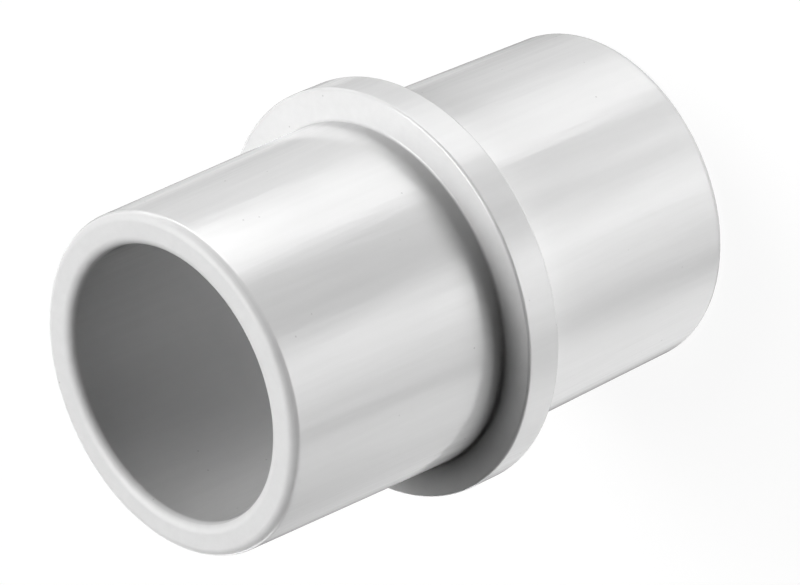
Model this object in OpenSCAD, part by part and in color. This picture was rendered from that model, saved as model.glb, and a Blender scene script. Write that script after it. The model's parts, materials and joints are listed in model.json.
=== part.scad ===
// Internal pipe coupling, moulded in one piece.
// Its two tapered spigots push into the ends of two pipes, which butt against the collar between them.
// It stands on one end face, with the bore along Z and the origin at the middle of that face.

/* [Pipes] */
// Outside diameter of the pipes that it joins, which the collar is flush with
pipe_outside_diameter = 48.3; // [45.5:0.1:60]
// Wall thickness of those pipes, which is also how far the collar stands out for them to butt against
pipe_wall = 3.7; // [2:0.1:5]

/* [Spigots] */
// Length of each spigot, from the collar to its end face
spigot_length = 31.5; // [10:0.5:80]
// Wall thickness of a spigot at its end face
spigot_wall = 3.9; // [2.6:0.1:8]
// Slack across the diameter between a pipe and the spigot's root, at the collar
root_clearance = 0.2; // [0:0.05:0.8]
// Slack across the diameter between a pipe and the spigot's end, where the taper makes it thinner
tip_clearance = 1.2; // [0.4:0.05:2.5]
// Radius of the rounded edge that leads each spigot into its pipe
lead_in_radius = 1.1; // [0.2:0.1:2.5]
// Radius of the rounded edge of the bore at each mouth
mouth_radius = 1.2; // [0.2:0.1:2.5]
// Radius of the fillet in the corner between each spigot and the collar
root_fillet = 0.3; // [0.1:0.05:1.5]

/* [Collar] */
// Thickness of the collar, which is the gap that it keeps between the two pipes
collar_thickness = 4.7; // [1.5:0.1:15]
// Radius of the collar's two outer edges
collar_edge_radius = 0.35; // [0.1:0.05:2]

/* [Hidden] */
collar_radius = pipe_outside_diameter / 2;
pipe_bore_radius = collar_radius - pipe_wall;
root_radius = pipe_bore_radius - root_clearance / 2;
tip_radius = pipe_bore_radius - tip_clearance / 2;
bore_radius = tip_radius - spigot_wall;
half_collar = collar_thickness / 2;
half_length = half_collar + spigot_length;
// Angle between a spigot's side and the axis
taper = atan((root_radius - tip_radius) / spigot_length);
// Steps in a full turn, where the model is drawn as a mesh
$fn = 180;

// The same thing above and below the middle of the collar
module both_ends() {
    for (side = [0, 1])
        mirror([0, side])
            children();
}

// The sliver between a sharp corner and the arc that rounds it. It is cut from an edge and added to a recess.
// The corner is at the origin, with its arc to the lower left, a level top and a side that leans by an angle.
module corner_sliver(radius, lean = 0) {
    side_facing = [cos(lean), sin(lean)];
    lean_shift = 1 - tan(45 - lean / 2);
    translate([-radius, -radius])
        translate([radius * lean_shift, 0])
            difference() {
                polygon([[0, 0], 2 * radius * side_facing, 2 * radius * [1, 1], [0, 2 * radius]]);
                circle(radius);
            }
}

// One side of the section through the axis, with every corner sharp and the middle of the collar at height 0
module sharp_section() {
    polygon([
        [bore_radius, -half_length], [tip_radius, -half_length], [root_radius, -half_collar],
        [root_radius, half_collar], [tip_radius, half_length], [bore_radius, half_length]
    ]);
    translate([bore_radius, -half_collar])
        square([collar_radius - bore_radius, collar_thickness]);
}

module section() {
    difference() {
        sharp_section();
        both_ends() {
            translate([bore_radius, half_length])
                mirror([1, 0])
                    corner_sliver(mouth_radius);
            translate([tip_radius, half_length])
                corner_sliver(lead_in_radius, taper);
            translate([collar_radius, half_collar])
                corner_sliver(collar_edge_radius);
        }
    }
    both_ends()
        translate([root_radius, half_collar])
            rotate(180)
                corner_sliver(root_fillet, taper);
}

// The whole moulding, turned about the bore's axis
module coupling() {
    color("whitesmoke")
        translate([0, 0, half_length])
            rotate_extrude()
                section();
}

coupling();
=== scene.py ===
import json
from math import atan, cos, degrees, hypot, pi, radians, sin, tan

import bpy
from mathutils import Matrix, Vector


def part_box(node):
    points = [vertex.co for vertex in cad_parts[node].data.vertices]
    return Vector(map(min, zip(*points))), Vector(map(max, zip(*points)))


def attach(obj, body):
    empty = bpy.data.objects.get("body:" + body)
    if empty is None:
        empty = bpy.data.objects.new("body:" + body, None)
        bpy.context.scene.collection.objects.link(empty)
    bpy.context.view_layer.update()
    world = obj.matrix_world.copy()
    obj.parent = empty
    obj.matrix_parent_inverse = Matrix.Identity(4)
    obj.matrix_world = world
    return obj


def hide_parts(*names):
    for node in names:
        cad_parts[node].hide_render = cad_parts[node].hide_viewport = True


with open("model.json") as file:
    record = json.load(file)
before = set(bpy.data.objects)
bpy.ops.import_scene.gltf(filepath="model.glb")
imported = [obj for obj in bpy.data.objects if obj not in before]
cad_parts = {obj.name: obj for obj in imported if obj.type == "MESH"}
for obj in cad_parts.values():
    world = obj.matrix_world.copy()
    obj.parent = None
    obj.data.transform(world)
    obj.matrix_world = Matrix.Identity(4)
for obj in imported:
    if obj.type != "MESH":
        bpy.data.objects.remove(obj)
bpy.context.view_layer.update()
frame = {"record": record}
mm = 0.001

# The moulding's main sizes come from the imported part, in mm
mounts = {mount["name"]: mount for mount in frame["record"]["mounts"]}
couplingLow, couplingHigh = (Vector(corner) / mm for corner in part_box("coupling"))
coupling = {
    "height": couplingHigh.z - couplingLow.z,
    "collarRadius": (couplingHigh.x - couplingLow.x) / 2,
    "boreRadius": mounts["bore"]["dims"]["r_mm"],
    "rootRadius": mounts["spigot_upper"]["dims"]["r_mm"],
    "spigotLength": mounts["spigot_upper"]["dims"]["length_mm"],
    "tipRadius": 19.85,         # a spigot at its end face, before the edge is rounded
    "leadInRadius": 1.1,        # rounded edge that leads a spigot into its pipe
    "mouthRadius": 1.2,         # rounded edge of the bore
    "rootFillet": 0.3,          # between spigot and collar
    "collarEdgeRadius": 0.35,
    "turnSteps": 384,           # steps in a full turn
    "arcStep": 7.5,             # largest angle between two points of an arc, in degrees
    "rowHeight": 4.0,           # longest straight step along the bore and the spigots
}


def arcPoints(centre, radius, start, end, hollow=False):
    # Points of an arc in the section, each with the way its surface faces. Angles in degrees.
    steps = max(2, round(abs(end - start) / coupling["arcStep"]))
    facing = -1 if hollow else 1
    points = []
    for step in range(steps + 1):
        angle = radians(start + (end - start) * step / steps)
        across, along = cos(angle), sin(angle)
        points.append((centre[0] + radius * across, centre[1] + radius * along,
                       facing * across, facing * along))
    return points


def straightPoints(first, last):
    # In-between points of a straight run, so that no face is very long
    steps = max(1, round(hypot(last[0] - first[0], last[1] - first[1]) / coupling["rowHeight"]))
    return [tuple(a + (b - a) * step / steps for a, b in zip(first, last)) for step in range(1, steps)]


def mouldingSection():
    # Half of the section, from mid bore over the upper end to the middle of the rim, and its mirror image
    c = coupling
    halfHeight = c["height"] / 2
    halfCollar = halfHeight - c["spigotLength"]
    lean = degrees(atan((c["rootRadius"] - c["tipRadius"]) / c["spigotLength"]))
    leanShift = tan(radians(45 - lean / 2))
    arcs = [
        arcPoints((c["boreRadius"] + c["mouthRadius"], halfHeight - c["mouthRadius"]),
                  c["mouthRadius"], 180, 90),
        arcPoints((c["tipRadius"] - c["leadInRadius"] * leanShift, halfHeight - c["leadInRadius"]),
                  c["leadInRadius"], 90, lean),
        arcPoints((c["rootRadius"] + c["rootFillet"] * leanShift, halfCollar + c["rootFillet"]),
                  c["rootFillet"], 180 + lean, 270, hollow=True),
        arcPoints((c["collarRadius"] - c["collarEdgeRadius"], halfCollar - c["collarEdgeRadius"]),
                  c["collarEdgeRadius"], 90, 0),
    ]
    half = [(c["boreRadius"], 0, -1, 0)]
    for arc in arcs:
        half += straightPoints(half[-1], arc[0]) + arc
    lower = [(radius, -height, across, -along) for radius, height, across, along in reversed(half)]
    return half + lower[:-1]


def turnMoulding():
    # The section turned about the bore's axis, with the section's own normals, so that flats shade as flats
    section = mouldingSection()
    middle = coupling["height"] / 2
    turnSteps = coupling["turnSteps"]
    points, normals, faces = [], [], []
    for step in range(turnSteps):
        turn = 2 * pi * step / turnSteps
        for radius, height, across, along in section:
            points.append((radius * cos(turn) * mm, radius * sin(turn) * mm, (middle + height) * mm))
            normals.append((across * cos(turn), across * sin(turn), along))
    count = len(section)
    for step in range(turnSteps):
        here, there = step * count, (step + 1) % turnSteps * count
        for row in range(count):
            above = (row + 1) % count
            faces.append((here + row, here + above, there + above, there + row))
    mesh = bpy.data.meshes.new("mouldedCoupling")
    mesh.from_pydata(points, [], faces)
    mesh.update()
    mesh.shade_smooth()
    mesh.normals_split_custom_set_from_vertices(normals)
    moulding = bpy.data.objects.new("mouldedCoupling", mesh)
    bpy.context.collection.objects.link(moulding)
    return moulding


# The plastic's finish. Sizes are in mm. A height, and what a pattern adds to the grey or to the roughness,
# is the whole way from its lowest to its highest.
plastic = {
    "grey": 0.72,               # share of the light that it gives back
    "roughness": 0.14,
    "refraction": 1.5,          # index of refraction, which sets how strongly it mirrors the lamps
    "endRoughness": 0.5,        # end faces and the part of their rounded edges that faces the same way
    "endLevel": (0.4, 0.8),     # how level the surface is where that roughness starts, and where it is full
    "mottleSize": 9.0,          # clouds of slightly lighter and duller plastic
    "mottleGrey": 0.024,
    "mottleRoughness": 0.06,
    "waveWidth": 5.0,           # broad lengthwise waves, as the wall shrank unevenly
    "waveLength": 28.0,
    "waveHeight": 0.15,
    "streakWidth": 1.1,         # fine lengthwise streaks from the flow of the plastic
    "streakLength": 15.0,
    "streakHeight": 0.04,
    "streakGrey": 0.05,
    "peelSize": 0.7,            # fine unevenness of the skin
    "peelHeight": 0.00025,
    "ringSpacing": 0.22,        # turned marks on the end faces and the collar's sides
    "ringHeight": 0.0012,
    "ringChange": 0.06,         # how fast a mark changes along its ring, per mm
    "ringLevel": (0.96, 1.0),   # how level the surface is where the marks start, and where they are full
    "speckSpacing": 3.3,        # dark dust specks in the skin
    "speckRadius": 0.15,
    "speckGrey": 0.4,           # their own grey
}


def addNode(tree, kind, sockets, **properties):
    # A shader node with its properties set and its sockets filled. A socket is linked, all else is a value.
    made = tree.nodes.new("ShaderNode" + kind)
    for name, value in properties.items():
        setattr(made, name, value)
    for name, value in sockets.items():
        if isinstance(value, bpy.types.NodeSocket):
            tree.links.new(value, made.inputs[name])
        else:
            made.inputs[name].default_value = value
    return made


def calculate(tree, operation, first, second=0.0):
    return addNode(tree, "Math", {0: first, 1: second}, operation=operation).outputs[0]


def ramp(tree, value, start, full):
    # 0 on the far side of start, then evenly up to 1 at full. It may run up or down.
    return addNode(tree, "MapRange", {"Value": value, "From Min": start, "From Max": full}).outputs[0]


def multiplied(tree, vector, factors):
    return addNode(tree, "VectorMath", {0: vector, 1: factors}, operation="MULTIPLY").outputs[0]


def stretched(tree, place, width, length):
    # Coordinates in which a pattern of size 1 is as wide and as long along the bore as given
    return multiplied(tree, place, (1 / width, 1 / width, 1 / length))


def cloud(tree, place, width, length, detail=2.0):
    # Soft noise from about -0.5 to 0.5
    where = stretched(tree, place, width, length)
    noise = addNode(tree, "TexNoise", {"Vector": where, "Scale": 1.0, "Detail": detail})
    return calculate(tree, "SUBTRACT", noise.outputs[0], 0.5)


def levelness(tree, facing):
    # 1 where the surface is level, 0 where it is upright
    return calculate(tree, "ABSOLUTE", addNode(tree, "SeparateXYZ", {0: facing}).outputs["Z"])


def turnedMarks(tree, place, facing):
    # Fine rings about the bore's axis, only where the surface is level
    radius = addNode(tree, "VectorMath", {0: multiplied(tree, place, (1, 1, 0))}, operation="LENGTH")
    ring = calculate(tree, "DIVIDE", radius.outputs["Value"], plastic["ringSpacing"])
    ringPlace = addNode(tree, "CombineXYZ", {"Z": ring}).outputs[0]
    alongRing = multiplied(tree, place, (plastic["ringChange"], plastic["ringChange"], 0))
    where = addNode(tree, "VectorMath", {0: alongRing, 1: ringPlace}, operation="ADD").outputs[0]
    noise = addNode(tree, "TexNoise", {"Vector": where, "Scale": 1.0, "Detail": 1.0}).outputs[0]
    return calculate(tree, "MULTIPLY", noise, ramp(tree, levelness(tree, facing), *plastic["ringLevel"]))


def endFaces(tree, place, facing):
    # 1 on the end faces and the start of their rounded edges, 0 elsewhere
    middle = coupling["height"] / 2
    rounding = coupling["mouthRadius"]
    height = addNode(tree, "SeparateXYZ", {0: place}).outputs["Z"]
    fromMiddle = calculate(tree, "ABSOLUTE", calculate(tree, "SUBTRACT", height, middle))
    near = ramp(tree, fromMiddle, middle - rounding, middle - rounding / 2)
    return calculate(tree, "MULTIPLY", near, ramp(tree, levelness(tree, facing), *plastic["endLevel"]))


def dustSpecks(tree, place):
    # 1 in the middle of a few small round specks, 0 outside them
    where = stretched(tree, place, plastic["speckSpacing"], plastic["speckSpacing"])
    cells = addNode(tree, "TexVoronoi", {"Vector": where, "Scale": 1.0})
    return ramp(tree, cells.outputs["Distance"], plastic["speckRadius"] / plastic["speckSpacing"], 0.0)


def whitePlastic():
    p = plastic
    material = bpy.data.materials.new("glossyWhitePlastic")
    material.use_nodes = True
    tree = material.node_tree
    shader = tree.nodes["Principled BSDF"]
    coordinates = addNode(tree, "TexCoord", {})
    place = addNode(tree, "VectorMath", {0: coordinates.outputs["Object"], "Scale": 1 / mm},
                    operation="SCALE").outputs[0]

    mottle = cloud(tree, place, p["mottleSize"], p["mottleSize"], detail=4.0)
    streaks = cloud(tree, place, p["streakWidth"], p["streakLength"])
    uneven = calculate(tree, "ADD", calculate(tree, "MULTIPLY", mottle, p["mottleGrey"]),
                       calculate(tree, "MULTIPLY", streaks, p["streakGrey"]))
    grey = calculate(tree, "ADD", uneven, p["grey"])
    clean = addNode(tree, "CombineColor", {"Red": grey, "Green": grey, "Blue": grey}).outputs[0]
    dust = p["speckGrey"]
    specks = dustSpecks(tree, place)
    colour = addNode(tree, "Mix", {"Factor": specks, "A": clean, "B": (dust, dust, dust, 1)},
                     data_type="RGBA")
    tree.links.new(colour.outputs["Result"], shader.inputs["Base Color"])

    duller = calculate(tree, "MULTIPLY", mottle, p["mottleRoughness"])
    ends = endFaces(tree, place, coordinates.outputs["Normal"])
    endsDuller = calculate(tree, "MULTIPLY", ends, p["endRoughness"] - p["roughness"])
    roughness = calculate(tree, "ADD", calculate(tree, "ADD", duller, endsDuller), p["roughness"])
    tree.links.new(roughness, shader.inputs["Roughness"])
    shader.inputs["IOR"].default_value = p["refraction"]

    reliefs = [
        (cloud(tree, place, p["waveWidth"], p["waveLength"]), p["waveHeight"]),
        (streaks, p["streakHeight"]),
        (cloud(tree, place, p["peelSize"], p["peelSize"]), p["peelHeight"]),
        (turnedMarks(tree, place, coordinates.outputs["Normal"]), p["ringHeight"]),
    ]
    height = 0.0
    for pattern, size in reliefs:
        height = calculate(tree, "ADD", calculate(tree, "MULTIPLY", pattern, size * mm), height)
    bump = addNode(tree, "Bump", {"Height": height, "Distance": 1.0})
    tree.links.new(bump.outputs["Normal"], shader.inputs["Normal"])
    return material


# The photograph's camera, as a place round the middle of the coupling
cameraPlace = {
    "aim": (-0.95, -0.55, 33.2),    # point that the middle of the picture falls on, in mm
    "distance": 633,                # mm
    "elevation": 38.9,              # degrees above the level
    "roll": -114,                   # degrees about the line of sight, as the photograph lays the coupling
    "lens": 254,                    # mm
    "sensorWidth": 36,              # mm
    "farthest": 20,                 # metres that it sees
}


def photographCamera():
    p = cameraPlace
    camera = bpy.data.objects.new("photographCamera", bpy.data.cameras.new("photographCamera"))
    bpy.context.collection.objects.link(camera)
    camera.data.lens = p["lens"]
    camera.data.sensor_width = p["sensorWidth"]
    camera.data.clip_end = p["farthest"]
    tilt = Matrix.Rotation(radians(90 - p["elevation"]), 3, "X")
    turn = tilt @ Matrix.Rotation(radians(p["roll"]), 3, "Z")
    place = Vector(p["aim"]) * mm + turn @ Vector((0, 0, p["distance"] * mm))
    camera.matrix_world = Matrix.Translation(place) @ turn.to_4x4()
    bpy.context.scene.camera = camera


photographCamera()
print("camera placed")
moulding = turnMoulding()
moulding.data.materials.append(whitePlastic())
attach(moulding, "root")
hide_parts("coupling")
print("coupling moulded:", len(moulding.data.polygons), "faces")

# Softboxes round the coupling, well outside the picture. Azimuth runs from +X towards +Y and elevation up
# from the level, as the middle of the coupling sees them: those below 0 shine up through the table. Width
# and height are in degrees too. A brightness of 1 is white, and it fades to nothing at the edges: fadeStart
# and fadeEnd are shares of the width, at its lower and its higher azimuth, and fadeSides is a share of the
# height, below and above.
softboxes = {
    "key": {"azimuth": 336, "elevation": -35, "width": 53, "height": 35, "brightness": 5.3,
            "fadeStart": 0.3, "fadeEnd": 0.7, "fadeSides": 0.25},
    "second": {"azimuth": 235, "elevation": -37, "width": 66, "height": 33, "brightness": 6.3,
               "fadeStart": 0.65, "fadeEnd": 0.35, "fadeSides": 0.15},
    "front": {"azimuth": 277, "elevation": -49, "width": 46, "height": 19, "brightness": 4.6,
              "fadeStart": 0.6, "fadeEnd": 0.3, "fadeSides": 0.25},
    "left": {"azimuth": 148, "elevation": -44, "width": 80, "height": 25, "brightness": 2.3,
             "fadeStart": 0.65, "fadeEnd": 0.05, "fadeSides": 0.4},
    "leftSide": {"azimuth": 187, "elevation": -16, "width": 50, "height": 28, "brightness": 2.8,
                 "fadeStart": 0.25, "fadeEnd": 0.25, "fadeSides": 0.3},
    "rightSide": {"azimuth": 344, "elevation": -27, "width": 60, "height": 18, "brightness": 6.3,
                  "fadeStart": 0.25, "fadeEnd": 0.1, "fadeSides": 0.15},
    "rear": {"azimuth": 21, "elevation": -7, "width": 24, "height": 26, "brightness": 2.4,
             "fadeStart": 0.2, "fadeEnd": 0.3, "fadeSides": 0.2},
    "backdrop": {"azimuth": 67, "elevation": -38, "width": 29, "height": 11, "brightness": 0.65,
                 "fadeStart": 0.35, "fadeEnd": 0.5, "fadeSides": 0.3},
    "behind": {"azimuth": 110, "elevation": -15, "width": 104, "height": 29, "brightness": 3.4,
               "fadeStart": 0.3, "fadeEnd": 0.3, "fadeSides": 0.3},
    "overhead": {"azimuth": 17, "elevation": 68, "width": 30, "height": 48, "brightness": 13.5,
                 "fadeStart": 0.25, "fadeEnd": 0.25, "fadeSides": 0.2},
}
lampDistance = 1.5              # metres
whiteTable = {
    "halfWidth": 4.0,           # metres
    "surface": 0.8,             # grey of the part that shows shadows
    "glow": 1.03,               # brightness of the part that glows
    "glowShare": 0.9,           # the less it glows, the deeper the coupling's shadow
}


def fadeToEdges(tree, lamp):
    # 1 in the middle of a softbox and 0 at its edges
    place = addNode(tree, "SeparateXYZ", {0: addNode(tree, "TexCoord", {}).outputs["UV"]})
    across, up = place.outputs["X"], place.outputs["Y"]
    fades = [(across, 0, lamp["fadeStart"]), (across, 1, 1 - lamp["fadeEnd"]),
             (up, 0, lamp["fadeSides"]), (up, 1, 1 - lamp["fadeSides"])]
    share = 1.0
    for where, edge, full in fades:
        share = calculate(tree, "MULTIPLY", ramp(tree, where, edge, full), share)
    return share


def lightStudio():
    middle = Vector((0, 0, coupling["height"] / 2 * mm))
    for name, lamp in softboxes.items():
        data = bpy.data.lights.new(name, "AREA")
        data.shape = "RECTANGLE"
        data.size = 2 * lampDistance * tan(radians(lamp["width"] / 2))
        data.size_y = 2 * lampDistance * tan(radians(lamp["height"] / 2))
        data.energy = lamp["brightness"] * pi * data.size * data.size_y
        data.use_nodes = True
        tree = data.node_tree
        tree.links.new(fadeToEdges(tree, lamp), tree.nodes["Emission"].inputs["Strength"])
        softbox = bpy.data.objects.new(name, data)
        bpy.context.collection.objects.link(softbox)
        softbox.visible_camera = False
        azimuth, elevation = radians(lamp["azimuth"]), radians(lamp["elevation"])
        away = Vector((cos(elevation) * cos(azimuth), cos(elevation) * sin(azimuth), sin(elevation)))
        softbox.matrix_world = (Matrix.Translation(middle + away * lampDistance)
                                @ away.to_track_quat("Z", "Y").to_matrix().to_4x4())


def lightTable():
    # White for the camera, with the coupling's shadow on it. The lamps below shine through it.
    mesh = bpy.data.meshes.new("lightTable")
    half = whiteTable["halfWidth"]
    corners = [(-half, -half, 0), (half, -half, 0), (half, half, 0), (-half, half, 0)]
    mesh.from_pydata(corners, [], [(0, 1, 2, 3)])
    table = bpy.data.objects.new("lightTable", mesh)
    bpy.context.collection.objects.link(table)
    table.visible_diffuse = table.visible_glossy = False
    table.visible_transmission = table.visible_shadow = False
    material = bpy.data.materials.new("whiteTable")
    material.use_nodes = True
    tree = material.node_tree
    tree.nodes.clear()
    grey = whiteTable["surface"]
    surface = addNode(tree, "BsdfDiffuse", {"Color": (grey, grey, grey, 1)}).outputs["BSDF"]
    glow = addNode(tree, "Emission", {"Strength": whiteTable["glow"]}).outputs["Emission"]
    both = addNode(tree, "MixShader", {"Fac": whiteTable["glowShare"], 1: surface, 2: glow})
    addNode(tree, "OutputMaterial", {"Surface": both.outputs["Shader"]})
    mesh.materials.append(material)


def whiteSurroundings():
    # White where the camera sees past the table, and unlit for the coupling
    world = bpy.data.worlds.new("whiteSurroundings")
    world.use_nodes = True
    bpy.context.scene.world = world
    tree = world.node_tree
    background = tree.nodes["Background"]
    background.inputs["Color"].default_value = (1, 1, 1, 1)
    path = addNode(tree, "LightPath", {})
    tree.links.new(path.outputs["Is Camera Ray"], background.inputs["Strength"])


lightStudio()
lightTable()
whiteSurroundings()
print("studio lit")
bpy.context.scene.view_settings.view_transform = "Standard"
